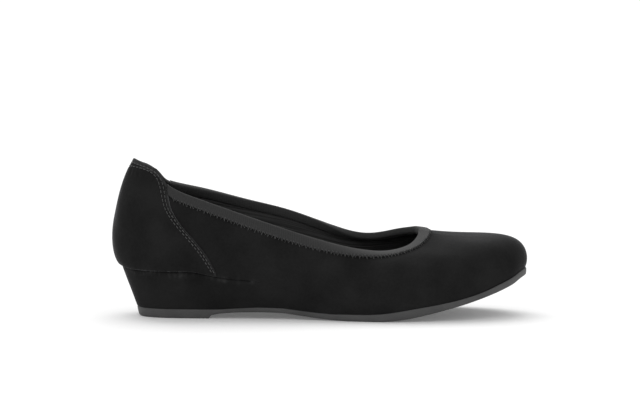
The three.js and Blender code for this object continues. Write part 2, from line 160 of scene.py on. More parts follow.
# Height of the seat under the upper: shares of the heel seat above the forefoot and of the toe spring.
SEAT_LINE = table("x heel toe", [
    [0.019, 1.085, 0],
    [0.037, 1.042, 0],
    [0.090, 1.008, 0],
    [0.190, 0.994, 0],
    [0.225, 0.930, 0],
    [0.253, 0.868, 0],
    [0.287, 0.822, 0],
    [0.330, 0.778, 0],
    [0.390, 0.660, 0],
    [0.448, 0.490, 0],
    [0.500, 0.290, 0],
    [0.540, 0.115, 0],
    [0.575, 0.015, 0],
    [0.610, 0.000, 0],
    [0.650, 0.000, 0.020],
    [0.690, 0.000, 0.080],
    [0.740, 0.000, 0.170],
    [0.790, 0.000, 0.258],
    [0.835, 0.000, 0.355],
    [0.885, 0.000, 0.500],
    [0.932, 0.000, 0.690],
    [0.963, 0.000, 0.826],
    [1.000, 0.000, 1.000],
])

# Underside of the unit sole in front of the heel tread: shares of the arch lift and of the toe spring.
UNDER_LINE = table("x arch toe", [
    [0.236, 0.52, 0],
    [0.260, 0.74, 0],
    [0.308, 0.95, 0],
    [0.356, 1.00, 0],
    [0.404, 0.94, 0],
    [0.452, 0.60, 0],
    [0.500, 0.25, 0],
    [0.545, 0.04, 0],
    [0.567, 0.00, 0],
    [0.647, 0.00, 0],
    [0.672, 0.00, 0.020],
    [0.710, 0.00, 0.072],
    [0.760, 0.00, 0.182],
    [0.800, 0.00, 0.285],
    [0.846, 0.00, 0.410],
    [0.906, 0.00, 0.605],
    [0.963, 0.00, 0.825],
    [1.000, 0.00, 1.000],
])

# Top of the unit sole under the wedge, as shares of the arch lift above the heel tread.
UNIT_TOP = table("x rise", [
    [0.040, 0],
    [0.240, 0.02],
    [0.300, 0.22],
    [0.356, 0.38],
    [0.404, 0.32],
    [0.452, 0.02],
    [0.500, -0.25],
    [0.560, -0.42],
])

# How far the wedge and sole stand inside the feather line at their lower edge: shares of the heel slant.
SOLE_INSET = table("station inset", [
    [0, 1.00],
    [1, 0.84],
    [2, 0.52],
    [3, 0.30],
    [4, 0.20],
    [5, 0.13],
    [6, 0.06],
    [7, 0.00],
    [9, -0.06],
    [12, -0.08],
    [15, -0.10],
])

# Front edge of the counter: the station it reaches at each share of the way up.
COUNTER_FRONT = table("share station", [
    [0, 4.32],
    [0.2, 4.14],
    [0.45, 3.76],
    [0.7, 3.3],
    [0.88, 3.0],
    [1, 2.9],
])


def spline(keys, values):
    """A natural cubic spline through a column."""
    widths = np.diff(keys)
    count = len(keys)
    matrix = np.eye(count)
    turns = np.zeros(count)
    for i in range(1, count - 1):
        matrix[i, i - 1:i + 2] = widths[i - 1], 2 * (widths[i - 1] + widths[i]), widths[i]
        after = (values[i + 1] - values[i]) / widths[i]
        before = (values[i] - values[i - 1]) / widths[i - 1]
        turns[i] = 6 * (after - before)
    bend = np.linalg.solve(matrix, turns)

    def at(key):
        i = np.clip(np.searchsorted(keys, key) - 1, 0, count - 2)
        b = (key - keys[i]) / widths[i]
        a = 1 - b
        curve = (a ** 3 - a) * bend[i] + (b ** 3 - b) * bend[i + 1]
        return a * values[i] + b * values[i + 1] + curve * widths[i] ** 2 / 6

    return at


def steady(rows, key_name, name):
    """A curve through a column that never runs past its neighbours, level outside the table."""
    keys = rows[key_name]
    values = rows[name]
    chords = np.diff(values) / np.diff(keys)
    before, after = chords[:-1], chords[1:]
    total = np.where(before * after > 0, before + after, 1)
    inner = np.where(before * after > 0, 2 * before * after / total, 0)
    slopes = np.concatenate([[0], inner, [0]])

    def at(key):
        key = np.clip(key, keys[0], keys[-1])
        i = np.clip(np.searchsorted(keys, key) - 1, 0, len(keys) - 2)
        width = keys[i + 1] - keys[i]
        t = (key - keys[i]) / width
        rise = t * t * (3 - 2 * t)
        start = t * (1 - t) ** 2 * slopes[i] * width
        end = t * t * (t - 1) * slopes[i + 1] * width
        return values[i] + (values[i + 1] - values[i]) * rise + start + end

    return at


def round_curve(rows, lateral, medial):
    """A column pair that runs on round the shoe, lateral rows first, medial rows on the way back."""
    keys = rows["station"]
    laps = {}
    for key, side_a, side_b in zip(keys, rows[lateral], rows[medial]):
        laps[-key] = side_b
        laps[ROUND - key] = side_b
        laps[key] = side_a
        laps[ROUND + key] = side_a
    order = sorted(laps)
    return spline(np.array(order), np.array([laps[key] for key in order]))


seat_heel = steady(SEAT_LINE, "x", "heel")
seat_toe = steady(SEAT_LINE, "x", "toe")
under_arch = steady(UNDER_LINE, "x", "arch")
under_toe = steady(UNDER_LINE, "x", "toe")
unit_rise = steady(UNIT_TOP, "x", "rise")
inset_share = steady(SOLE_INSET, "station", "inset")
counter_front = steady(COUNTER_FRONT, "share", "station")
feather_x = round_curve(FEATHER_LINE, "lateralX", "medialX")
feather_y = round_curve(FEATHER_LINE, "lateralY", "medialY")
collar_x = round_curve(COLLAR_LINE, "lateralX", "medialX")
collar_y = round_curve(COLLAR_LINE, "lateralY", "medialY")
collar_drop = round_curve(COLLAR_LINE, "lateralDrop", "medialDrop")
shape_curves = {name: round_curve(WALL_SHAPE, name, name) for name in WALL_SHAPE if name != "station"}


def seat_z(x):
    share = x / LENGTH
    return FORE_THICKNESS + (SEAT_HEIGHT - FORE_THICKNESS) * seat_heel(share) + TOE_SPRING * seat_toe(share)


def under_z(x):
    share = x / LENGTH
    return ARCH_LIFT * under_arch(share) + TOE_SPRING * under_toe(share)


def unit_top_z(x):
    return HEEL_TREAD + ARCH_LIFT * unit_rise(x / LENGTH)


def lap(station):
    """The station count on one side, 0 at the heel and 15 at the toe."""
    station = np.mod(station, ROUND)
    return np.minimum(station, ROUND - station)


def unit(vectors):
    return vectors / np.maximum(np.linalg.norm(vectors, axis=-1, keepdims=True), 1e-9)


def feather(station):
    x = feather_x(station) * LENGTH
    return np.stack([x, feather_y(station) * BALL_WIDTH, seat_z(x) + CLEARANCE], -1)


def collar(station):
    z = THROAT_HEIGHT + (BACK_HEIGHT - THROAT_HEIGHT) * collar_drop(station)
    return np.stack([collar_x(station) * LENGTH, collar_y(station) * BALL_WIDTH, z], -1)


def outward(station):
    along = feather(station + SLOPE_STEP) - feather(station - SLOPE_STEP)
    return unit(np.stack([along[..., 1], -along[..., 0], np.zeros_like(along[..., 0])], -1))


def guides(station):
    """The six guides of the wall at each station, feather first."""
    low = feather(station)
    high = collar(station)
    out = outward(station)
    shape = {name: curve(station)[..., None] for name, curve in shape_curves.items()}

    def guide(up, across, reach):
        point = low + (high - low) * across
        point[..., 2:] = low[..., 2:] + (high[..., 2:] - low[..., 2:]) * up
        return point + out * reach * BALL_WIDTH

    nothing = np.zeros_like(shape["lowUp"])
    return np.stack([
        low,
        guide(shape["lowUp"], nothing, shape["lowOut"]),
        guide(shape["midUp"], shape["midIn"], shape["midOut"]),
        guide(shape["fullUp"], shape["fullIn"], shape["fullOut"]),
        guide(shape["nearUp"], shape["nearIn"], nothing),
        high,
    ], -2)


KNOTS = np.array([0, 0, 0, 0, 1, 2, 3, 3, 3, 3], float)
DEGREE = 3


def guide_weights(share):
    """Weights of the six guides for a clamped cubic curve."""
    t = np.clip(share, 0, 1 - 1e-9) * 3
    weights = [((t >= low) & (t < high)).astype(float) for low, high in zip(KNOTS[:-1], KNOTS[1:])]
    for degree in range(1, DEGREE + 1):
        raised = []
        for i in range(len(weights) - 1):
            value = np.zeros_like(t)
            left = KNOTS[i + degree] - KNOTS[i]
            right = KNOTS[i + degree + 1] - KNOTS[i + 1]
            if left > 0:
                value = value + (t - KNOTS[i]) / left * weights[i]
            if right > 0:
                value = value + (KNOTS[i + degree + 1] - t) / right * weights[i + 1]
            raised.append(value)
        weights = raised
    return np.stack(weights, -1)


def surface(station, share):
    """Points of the upper's outer face."""
    station, share = np.broadcast_arrays(np.asarray(station, float), np.asarray(share, float))
    return np.einsum("...gk,...g->...k", guides(station), guide_weights(share))


def wall_normal(station, share):
    """Outward direction of the wall, level at the feather."""
    around = surface(station + SLOPE_STEP, share) - surface(station - SLOPE_STEP, share)
    above = np.minimum(share + SLOPE_STEP, 1)
    below = np.maximum(share - SLOPE_STEP, 0)
    normal = unit(np.cross(around, surface(station, above) - surface(station, below)))
    normal[..., 2] *= smooth_step(share, 0, LEVEL_SHARE)
    return unit(normal)


# Soft troughs and ridges of the worn-in suede, placed on the wall:
# station and share of each end, half width in mm, height in mm.
SOFT_FOLDS = table("station share endStation endShare halfWidth height", [
    [0.35, 0.84, 1.60, 0.80, 2.2, -0.35],
    [0.50, 0.78, 1.90, 0.72, 3.0, 0.30],
    [0.20, 0.62, 0.90, 0.38, 5.0, -0.35],
    [2.30, 0.52, 2.90, 0.26, 6.0, -0.45],
    [4.60, 0.44, 6.60, 0.28, 7.0, -0.50],
    [5.60, 0.70, 7.60, 0.58, 6.0, 0.35],
    [7.90, 0.60, 9.40, 0.36, 5.0, -0.45],
    [8.80, 0.72, 10.2, 0.50, 4.5, 0.30],
    [9.90, 0.70, 11.2, 0.44, 5.0, -0.35],
    [12.2, 0.50, 13.6, 0.62, 5.0, 0.25],
    [16.6, 0.60, 18.0, 0.42, 5.0, -0.30],
    [19.4, 0.74, 20.8, 0.46, 5.0, -0.45],
    [21.4, 0.66, 22.6, 0.34, 5.5, -0.40],
    [23.6, 0.56, 25.4, 0.36, 7.0, -0.45],
    [27.0, 0.50, 27.7, 0.26, 6.0, -0.40],
    [0.62, 0.945, 0.80, 0.900, 0.9, -0.45],
    [0.86, 0.940, 1.12, 0.905, 0.9, -0.40],
    [1.20, 0.945, 1.42, 0.915, 0.9, -0.35],
])


def folds(station, share):
    """Height of the soft folds at each point of the wall, in mm."""
    place = surface(station, share)
    height = np.zeros(place.shape[:-1])
    for i in range(len(SOFT_FOLDS["height"])):
        row = {name: column[i] for name, column in SOFT_FOLDS.items()}
        reach = np.linspace(0, 1, 9)
        spine = surface(
            row["station"] + (row["endStation"] - row["station"]) * reach,
            row["share"] + (row["endShare"] - row["share"]) * reach,
        )
        fade = np.sin(np.pi * (reach * 0.8 + 0.1))
        distance = np.linalg.norm(place[..., None, :] - spine, axis=-1)
        weight = np.exp(-(distance / row["halfWidth"]) ** 2) * fade
        height = height + row["height"] * weight.max(-1)
    fade_foot = np.clip(share / FOLD_FADE_FOOT, 0, 1)
    fade_collar = np.clip((1 - share) / FOLD_FADE_COLLAR, 0, 1)
    return height * (fade_foot * fade_collar)


def beside(station, share, offset, rise=0.0, with_folds=True):
    """Points beside the wall: offset outward from it and, at the collar, rise past its edge."""
    station, share = np.broadcast_arrays(np.asarray(station, float), np.asarray(share, float))
    offset = np.broadcast_to(np.asarray(offset, float), station.shape)
    if with_folds:
        offset = offset + folds(station, share)
    point = surface(station, share) + wall_normal(station, share) * offset[..., None]
    rise = np.broadcast_to(np.asarray(rise, float), station.shape)
    if np.any(rise):
        below = surface(station, np.full_like(share, EDGE_SHARE))
        edge = unit(surface(station, np.ones_like(share)) - below)
        point = point + edge * rise[..., None]
    return point


WALK = np.linspace(1, 0, 101)


def share_below_collar(station, distance):
    """Share of the way up at which the wall is a given distance below the collar."""
    station, distance = np.broadcast_arrays(np.asarray(station, float), np.asarray(distance, float))
    line = surface(station[..., None], WALK)
    strides = np.linalg.norm(np.diff(line, axis=-2), axis=-1)
    walked = np.concatenate([np.zeros(station.shape + (1,)), np.cumsum(strides, -1)], -1)
    flat = walked.reshape(-1, len(WALK))
    shares = [np.interp(d, w, WALK) for d, w in zip(distance.ravel(), flat)]
    return np.array(shares).reshape(station.shape)


# The frame's own box tells where the tables' zero lies.
ring = np.linspace(0, ROUND, 1201)[:, None]
outer_face = surface(ring, np.linspace(0, 1, 41))
upper_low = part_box("upper")[0]
SHIFT = np.array([
    upper_low[0] * MM_PER_METRE - outer_face[..., 0].min(),
    upper_low[1] * MM_PER_METRE - outer_face[..., 1].min(),
    0,
])


def to_frame(points):
    return (np.asarray(points) + SHIFT) / MM_PER_METRE


def deselect():
    bpy.ops.object.select_all(action="DESELECT")


def finish_mesh(piece, angle=40):
    """Merges doubles, closes open ends and turns the faces outward."""
    bpy.context.view_layer.objects.active = piece
    bpy.ops.object.mode_set(mode="EDIT")
    bpy.ops.mesh.select_all(action="SELECT")
    bpy.ops.mesh.remove_doubles(threshold=MERGE_DISTANCE)
    bpy.ops.mesh.fill_holes(sides=0)
    bpy.ops.mesh.select_all(action="SELECT")
    bpy.ops.mesh.normals_make_consistent(inside=False)
    bpy.ops.object.mode_set(mode="OBJECT")
    deselect()
    piece.select_set(True)
    bpy.ops.object.shade_smooth_by_angle(angle=math.radians(angle))
    deselect()


def closed_grid(values, close_rows, close_columns):
    if close_rows:
        values = np.concatenate([values, values[:1]])
    if close_columns:
        values = np.concatenate([values, values[:, :1]], 1)
    return values


def sheet_piece(name, points, close_rows=False, close_columns=False, angle=40, painted_highlight=None):
    """A grid primitive laid on points, with rows along the first axis.

    The last argument gives the painted highlight at each point: how far the suede is painted lighter, from
    0 to 1.
    """
    if painted_highlight is None:
        painted_highlight = np.zeros(points.shape[:2])
    points = closed_grid(points, close_rows, close_columns)
    painted_highlight = closed_grid(painted_highlight, close_rows, close_columns)
    rows, columns = points.shape[:2]
    deselect()
    bpy.ops.mesh.primitive_grid_add(x_subdivisions=columns - 1, y_subdivisions=rows - 1, size=1)
    piece = bpy.context.object
    piece.name = name
    piece.data.name = name
    piece.data.vertices.foreach_set("co", to_frame(points).reshape(-1))
    # Painted highlight: a share at each point by which the suede's colour is painted lighter where light
    # would catch
    nap_and_highlight = piece.data.attributes.new("painted_highlight", "FLOAT", "POINT")
    nap_and_highlight.data.foreach_set("value", painted_highlight.reshape(-1))
    piece.data.update()
    finish_mesh(piece, angle)
    return piece


def dress(piece, material, slot, *nodes):
    piece.data.materials.clear()
    piece.data.materials.append(material)
    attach(piece, "root")
    if nodes:
        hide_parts(*nodes)
    return piece


# Materials

# Dark and light tone of each finish, from 0 for black to 1 for white
SUEDE_TONES = (0.0102, 0.0180)
# Tones of the painted highlight on the suede
PAINTED_HIGHLIGHT_TONES = (0.026, 0.060)
ELASTIC_TONES = (0.021, 0.041)
RUBBER_TONES = (0.052, 0.075)
LINING_TONES = (0.014, 0.085)
SOCK_TONES = (0.010, 0.020)
THREAD_TONES = (0.026, 0.075)
TAPE_THREAD_TONES = (0.024, 0.052)
FLOOR_TONES = (0.875, 0.885)
FLOOR_GLOW = 0.12


def grey(value):
    return (value, value, value)


class Finish:
    """A material under construction. Its helpers add nodes, link them and set the shader."""

    def __init__(self, name):
        self.material = bpy.data.materials.new(name)
        self.material.use_nodes = True
        self.nodes = self.material.node_tree.nodes
        self.links = self.material.node_tree.links
        self.shader = self.nodes["Principled BSDF"]

    def node(self, kind, **settings):
        made = self.nodes.new(kind)
        for key, value in settings.items():
            if hasattr(made, key):
                setattr(made, key, value)
            else:
                made.inputs[key.replace("_", " ")].default_value = value
        return made

    def link(self, source, target):
        self.links.new(source, target)

    def place(self, kind="Object"):
        return self.node("ShaderNodeTexCoord").outputs[kind]

    def noise(self, place, scale, detail=3.0, roughness=0.5):
        made = self.node("ShaderNodeTexNoise")
        made.inputs["Scale"].default_value = scale
        made.inputs["Detail"].default_value = detail
        made.inputs["Roughness"].default_value = roughness
        self.link(place, made.inputs["Vector"])
        return made.outputs["Fac"]

    def stretch(self, place, scale):
        made = self.node("ShaderNodeMapping")
        made.inputs["Scale"].default_value = scale
        self.link(place, made.inputs["Vector"])
        return made.outputs["Vector"]

    def ramp(self, value, stops):
        made = self.node("ShaderNodeValToRGB")
        elements = made.color_ramp.elements
        while len(elements) < len(stops):
            elements.new(0.5)
        for element, (position, color) in zip(elements, stops):
            element.position = position
            element.color = (*color, 1)
        self.link(value, made.inputs["Fac"])
        return made.outputs["Color"]

    def shades(self, value, start, end, tones):
        """A ramp from the dark tone at start to the light tone at end."""
        dark, light = tones
        return self.ramp(value, [(start, grey(dark)), (end, grey(light))])

    def mix(self, factor, a, b):
        """Colour a where the factor is 0 and colour b where it is 1."""
        made = self.node("ShaderNodeMix", data_type="RGBA")
        self.link(factor, made.inputs[0])
        self.link(a, made.inputs[6])
        self.link(b, made.inputs[7])
        return made.outputs[2]

    def add(self, a, b, weight):
        """Value a plus the weighted value b."""
        made = self.node("ShaderNodeMath", operation="MULTIPLY_ADD")
        self.link(b, made.inputs[0])
        made.inputs[1].default_value = weight
        self.link(a, made.inputs[2])
        return made.outputs[0]

    def bump(self, height, strength, distance):
        made = self.node("ShaderNodeBump")
        made.inputs["Strength"].default_value = strength
        made.inputs["Distance"].default_value = distance
        self.link(height, made.inputs["Height"])
        self.link(made.outputs["Normal"], self.shader.inputs["Normal"])

    def shade(self, **settings):
        for key, value in settings.items():
            self.shader.inputs[key.replace("_", " ")].default_value = value


def suede_finish():
    """Black suede: a short nap, brushed lighter and darker in soft patches, with a painted highlight where
    light catches the seam wrinkles, the edges and the tab top.
    """
    suede = Finish("black suede")
    dark, light = SUEDE_TONES
    place = suede.place()
    fibres = suede.noise(place, 2600, 4, 0.65)
    nap_and_highlight = suede.noise(place, 620, 4, 0.6)
    patches = suede.noise(place, 46, 2, 0.45)
    brushed = suede.add(patches, nap_and_highlight, 0.45)
    middle = (dark + light) / 2
    color = suede.ramp(brushed, [(0.50, grey(dark)), (0.72, grey(middle)), (0.94, grey(light))])
    # Painted highlight: the colour is mixed towards the paler tones where the attribute is set
    highlight_amount = suede.node("ShaderNodeAttribute", attribute_name="painted_highlight").outputs["Fac"]
    highlight_color = suede.shades(nap_and_highlight, 0.3, 0.7, PAINTED_HIGHLIGHT_TONES)
    suede.link(suede.mix(highlight_amount, color, highlight_color), suede.shader.inputs["Base Color"])
    suede.bump(suede.add(fibres, nap_and_highlight, 0.7), 0.35, 0.00025)
    suede.shade(Roughness=0.95, Sheen_Weight=0.25, Sheen_Roughness=0.26, Specular_IOR_Level=0.06)
    suede.shader.inputs["Sheen Tint"].default_value = (0.9, 0.9, 0.93, 1)
    return suede.material


def elastic_finish():
    """Ribbed elastic tape: fine ribs across the band, with a knitted grain."""
    tape = Finish("ribbed elastic")
    place = tape.place("UV")
    ribs = tape.node("ShaderNodeTexWave", wave_type="BANDS", bands_direction="Y", wave_profile="SIN")
    ribs.inputs["Scale"].default_value = 165
    ribs.inputs["Distortion"].default_value = 0.4
    tape.link(place, ribs.inputs["Vector"])
    grain = tape.noise(tape.place(), 1500, 3, 0.6)
    mixed = tape.add(grain, ribs.outputs["Fac"], 0.35)
    color = tape.shades(mixed, 0.3, 1.0, ELASTIC_TONES)
    tape.link(color, tape.shader.inputs["Base Color"])
    tape.bump(mixed, 0.4, 0.00015)
    tape.shade(Roughness=0.75, Sheen_Weight=0.08, Sheen_Roughness=0.4, Specular_IOR_Level=0.20)
    return tape.material


def rubber_finish():
    """Moulded rubber: dark grey, matte, with a fine moulded grain."""
    rubber = Finish("moulded rubber")
    place = rubber.place()
    grain = rubber.noise(place, 1700, 3, 0.6)
    cloud = rubber.noise(place, 60, 2, 0.5)
    mixed = rubber.add(cloud, grain, 0.3)
    color = rubber.shades(mixed, 0.35, 0.85, RUBBER_TONES)
    rubber.link(color, rubber.shader.inputs["Base Color"])
    rubber.bump(grain, 0.25, 0.00015)
    rubber.shade(Roughness=0.6, Specular_IOR_Level=0.35)
    return rubber.material


def lining_finish():
    """Black textile lining with a fine horizontal weave."""
    lining = Finish("textile lining")
    place = lining.place("UV")
    weave = lining.node("ShaderNodeTexWave", wave_type="BANDS", bands_direction="X", wave_profile="SIN")
    weave.inputs["Scale"].default_value = 30
    weave.inputs["Distortion"].default_value = 1.2
    weave.inputs["Detail Scale"].default_value = 4
    lining.link(place, weave.inputs["Vector"])
    streaks = lining.noise(lining.stretch(place, (55, 9, 1)), 1.0, 2, 0.6)
    mixed = lining.add(streaks, weave.outputs["Fac"], 0.2)
    color = lining.shades(mixed, 0.40, 0.85, LINING_TONES)
    lining.link(color, lining.shader.inputs["Base Color"])
    lining.bump(mixed, 0.4, 0.0002)
    lining.shade(Roughness=0.9, Specular_IOR_Level=0.2)
    return lining.material


def sock_finish():
    """Smooth black lining leather of the insole."""
    sock = Finish("sock leather")
    place = sock.place()
    pores = sock.node("ShaderNodeTexVoronoi")
    pores.inputs["Scale"].default_value = 900
    sock.link(place, pores.inputs["Vector"])
    cloud = sock.noise(place, 40, 2, 0.5)
    color = sock.shades(cloud, 0.3, 0.8, SOCK_TONES)
    sock.link(color, sock.shader.inputs["Base Color"])
    sock.bump(pores.outputs["Distance"], 0.3, 0.00012)
    sock.shade(Roughness=0.5, Specular_IOR_Level=0.4)
    return sock.material


def thread_finish(name, tones):
    """Twisted sewing thread."""
    thread = Finish(name)
    twist = thread.noise(thread.place(), 2200, 2, 0.5)
    color = thread.shades(twist, 0.3, 0.8, tones)
    thread.link(color, thread.shader.inputs["Base Color"])
    thread.bump(twist, 0.4, 0.0001)
    thread.shade(Roughness=0.5, Sheen_Weight=0.3, Sheen_Roughness=0.4)
    return thread.material


def floor_finish():
    """Pale matte floor with a faint glow."""
    floor = Finish("pale floor")
    cloud = floor.noise(floor.place(), 0.8, 2, 0.5)
    color = floor.shades(cloud, 0.0, 1.0, FLOOR_TONES)
    floor.link(color, floor.shader.inputs["Base Color"])
    floor.shade(Roughness=0.9, Specular_IOR_Level=0.1, Emission_Strength=FLOOR_GLOW)
    floor.shader.inputs["Emission Color"].default_value = (1, 1, 1, 1)
    return floor.material


SUEDE = suede_finish()
ELASTIC = elastic_finish()
RUBBER = rubber_finish()
LINING = lining_finish()
SOCK = sock_finish()
THREAD = thread_finish("counter thread", THREAD_TONES)
TAPE_THREAD = thread_finish("tape thread", TAPE_THREAD_TONES)


# Upper and lining

# Thickness of the suede, and how far its lower rim tucks in at the heel and where it lies flush
LEATHER = 0.9
TUCK = 0.7
FLUSH_TUCK = 0.02
# Stations between which the seam under the upper runs out
SEAM_FADE = (4.9, 5.8)
# Share of the way up over which the rim tucks in, and how strongly the lasting pulls it
RIM_SHARE = 0.028
RIM_PULL = 0.30
RIM_PULL_REACH = 0.035


def seam_depth(station):
    """Share of the seam's full depth: all of it round the heel, little from the waist forward."""
    return 1 - smooth_step(lap(station), *SEAM_FADE)


def seam_wrinkles(station):
    """Small uneven wrinkles where the suede is lasted in, from -1 to 1, with the station."""
    arc = station * STATION_LENGTH
    coarse = np.sin(arc * 0.61 + 0.6) * np.sin(arc * 0.29 + 1.9)
    fine = np.sin(arc * 1.45 + 2.0) * np.sin(arc * 0.53)
    return (0.65 * coarse + 0.5 * fine) * seam_depth(station)


def make_upper():
    """The suede shell: outer face with a tucked lower rim, then its inner face down again."""
    stations = np.linspace(0, ROUND, 420, endpoint=False)[:, None]
    shares = np.concatenate([[0, 0.004, 0.010, 0.018, RIM_SHARE], np.linspace(0.04, 1, 84)])
    depth = FLUSH_TUCK + (TUCK - FLUSH_TUCK) * seam_depth(stations)
    tuck = -depth * (1 - np.clip(shares / RIM_SHARE, 0, 1)) ** 2
    pulled = RIM_PULL * seam_wrinkles(stations) * np.exp(-shares / RIM_PULL_REACH)
    outside = beside(stations, shares, tuck + pulled)
    inside = beside(stations, np.linspace(1, 0, 8), -LEATHER)
    loops = np.concatenate([outside, inside], 1)
    painted_highlight = np.zeros(loops.shape[:2])
    # Painted highlight along the lower rim, lighter on the seam wrinkles where light would catch them
    light = np.clip(0.3 + seam_wrinkles(stations), 0, 1) * seam_depth(stations)
    painted_highlight[:, :len(shares)] = 0.7 * light * np.exp(-shares / 0.03)
    return sheet_piece("upper_suede", loops, True, True, 60, painted_highlight)


def make_lining():
    """The textile lining inside the suede, down to the insole."""
    stations = np.linspace(0, ROUND, 240, endpoint=False)[:, None]
    outside = beside(stations, np.linspace(0, 1, 14), -LEATHER - 0.05)
    inside = beside(stations, np.linspace(1, 0, 44), -UPPER_WALL)
    return sheet_piece("upper_lining", np.concatenate([outside, inside], 1), True, True, 60)


dress(make_upper(), SUEDE, "upper", "upper")
dress(make_lining(), LINING, "upper")


# Counter overlay and its two stitch rows

# The running stitch: from one to the next, one stitch's length, its rise, how deep its ends sit,
# and half its thickness, all in mm
STITCH_PITCH = 2.8
STITCH_LENGTH = 2.15
STITCH_ARCH = 0.42
STITCH_SINK = 0.30
STITCH_RADIUS = 0.27
# The groove that a row pulls into the suede
GROOVE_DEPTH = 0.32
GROOVE_WIDTH = 0.75
# Radius of the counter's front edge, and how far from it the painted highlight along the edge reaches
EDGE_RADIUS = 0.9
EDGE_HIGHLIGHT_REACH = 1.1
# Height of the counter's outer face at its edge
EDGE_STAND = 0.25

# The counter's two stitch rows, as insets from its edge: under the collar, more at the heel back,
# beside the front edge, at its foot, and how much further in at the tab's neck. All in mm.
STITCH_ROWS = table("top heelDip side foot neck shoulder", [
    [1.3, 1.4, 1.5, 0.5, 1.6, 6.0],
    [2.6, 2.6, 3.1, 1.6, 3.6, 9.0],
])
# Shares of the way up between which a row runs beside the front edge, and where the neck lies
ROW_FOOT = 0.04
ROW_HEAD = 0.96
NECK_SHARE = 0.86
NECK_REACH = 0.10
# Spacing of a row's points, in mm, by which its corners are rounded
ROW_STEP = 0.7


def both_sides(line):
    """A lateral line carried over the heel back to the medial side."""
    mirrored = line[::-1] * np.array([-1, 1])
    return np.concatenate([mirrored[:-1], line])


def stitch_row(top, heel_dip, side, foot, neck, shoulder):
    """A row inside the counter's edge: under the collar, round the tab's shoulder, down the front."""
    shares = np.linspace(ROW_HEAD, ROW_FOOT, 90)
    inset = foot + (side - foot) * np.minimum(shares / 0.3, 1)
    inset = inset + neck * np.exp(-((shares - NECK_SHARE) / NECK_REACH) ** 2)
    front = np.stack([counter_front(shares) - inset / STATION_LENGTH, shares], -1)
    stations = np.linspace(0, front[0, 0], 80, endpoint=False)
    below = top + heel_dip * np.exp(-stations ** 2)
    over = np.stack([stations, share_below_collar(stations, below)], -1)
    line = both_sides(np.concatenate([over, front]))
    for _ in range(round((shoulder / ROW_STEP) ** 2)):
        line[1:-1] = (line[:-2] + 2 * line[1:-1] + line[2:]) / 4
    return line


ROW_LINES = [stitch_row(*row) for row in zip(*STITCH_ROWS.values())]


def groove_depth(points):
    """How deep the stitch rows pull the suede down."""
    depth = np.zeros(points.shape[:-1])
    for line in ROW_LINES:
        path = beside(line[:, 0], line[:, 1], CLEARANCE + OVERLAY, with_folds=False)
        gap = np.full(points.shape[:-1], np.inf)
        for start in range(0, len(path), 8):
            near = np.linalg.norm(points[..., None, :] - path[start:start + 8], axis=-1).min(-1)
            gap = np.minimum(gap, near)
        depth = depth + GROOVE_DEPTH * np.exp(-(gap / GROOVE_WIDTH) ** 2)
    return depth


def make_counter():
    """The heel overlay: rounded edges, stitch grooves, and its top turned over the tab."""
    columns = 300
    across = np.linspace(-1, 1, columns)
    across = np.sign(across) * (1 - (1 - np.abs(across)) ** 1.12)
    shares = np.linspace(0.004, 1, 150)
    full = CLEARANCE + OVERLAY
    stations = across[:, None] * counter_front(shares)
    flat = beside(stations, shares, full)
    edge = np.linalg.norm(beside(np.sign(stations) * counter_front(shares), shares, full) - flat, axis=-1)
    rounding = np.sqrt(np.clip(1 - (1 - np.clip(edge / EDGE_RADIUS, 0, 1)) ** 2, 0, 1))
    lower = np.clip(shares / 0.012, 0.2, 1)
    offset = EDGE_STAND + (full - EDGE_STAND) * rounding * lower - groove_depth(flat)
    outside = beside(stations, shares, offset)
    end = counter_front(np.ones(1))
    roll_stations = across[:, None] * end
    roll = table("offset rise share", [
        [full - 0.25, 0.30, 1],
        [full - 0.80, 0.50, 1],
        [0, 0.60, 1],
        [-UPPER_WALL + 0.2, 0.60, 1],
        [-UPPER_WALL - 0.35, 0.35, 1],
        [-UPPER_WALL - 0.55, 0.05, 1],
    ])
    shoulder = 0.9 * np.exp(-((np.abs(roll_stations) - 2.3) / 0.28) ** 2)
    rise = roll["rise"] + shoulder * roll["rise"] / 0.6
    over = beside(roll_stations, roll["share"], roll["offset"], rise)
    turned_in = table("below offset", [
        [0.8, -UPPER_WALL - 0.5],
        [2.0, -UPPER_WALL - 0.4],
        [3.0, -UPPER_WALL - 0.1],
    ])
    inner_stations = np.broadcast_to(roll_stations, (columns, 3))
    inner_shares = share_below_collar(inner_stations, turned_in["below"])
    inner = beside(inner_stations, inner_shares, turned_in["offset"])
    back_stations = np.broadcast_to(roll_stations, (columns, 2))
    back = beside(back_stations, 1, [-UPPER_WALL + 0.1, 0.1], 0.1)
    inside_shares = np.linspace(0.985, 0.004, 10)
    inside = beside(across[:, None] * counter_front(inside_shares), inside_shares, 0.1)
    loops = np.concatenate([outside, over, inner, back, inside], 1)
    # Painted highlight: along the front edge, on the seam wrinkles at the foot, and over the tab's turned
    # top
    painted_highlight = np.zeros(loops.shape[:2])
    outer_rows = len(shares)
    seam_highlight = np.exp(-shares / 0.02) * 0.5 * np.clip(0.4 + seam_wrinkles(stations), 0, 1)
    painted_highlight[:, :outer_rows] = np.clip(0.55 * np.exp(-(edge / EDGE_HIGHLIGHT_REACH) ** 2) + seam_highlight, 0, 1)
    painted_highlight[:, outer_rows - 4:outer_rows + over.shape[1]] = 0.7
    return sheet_piece("counter_suede", loops, False, True, 60, painted_highlight)


dress(make_counter(), SUEDE, "counter", "counter")


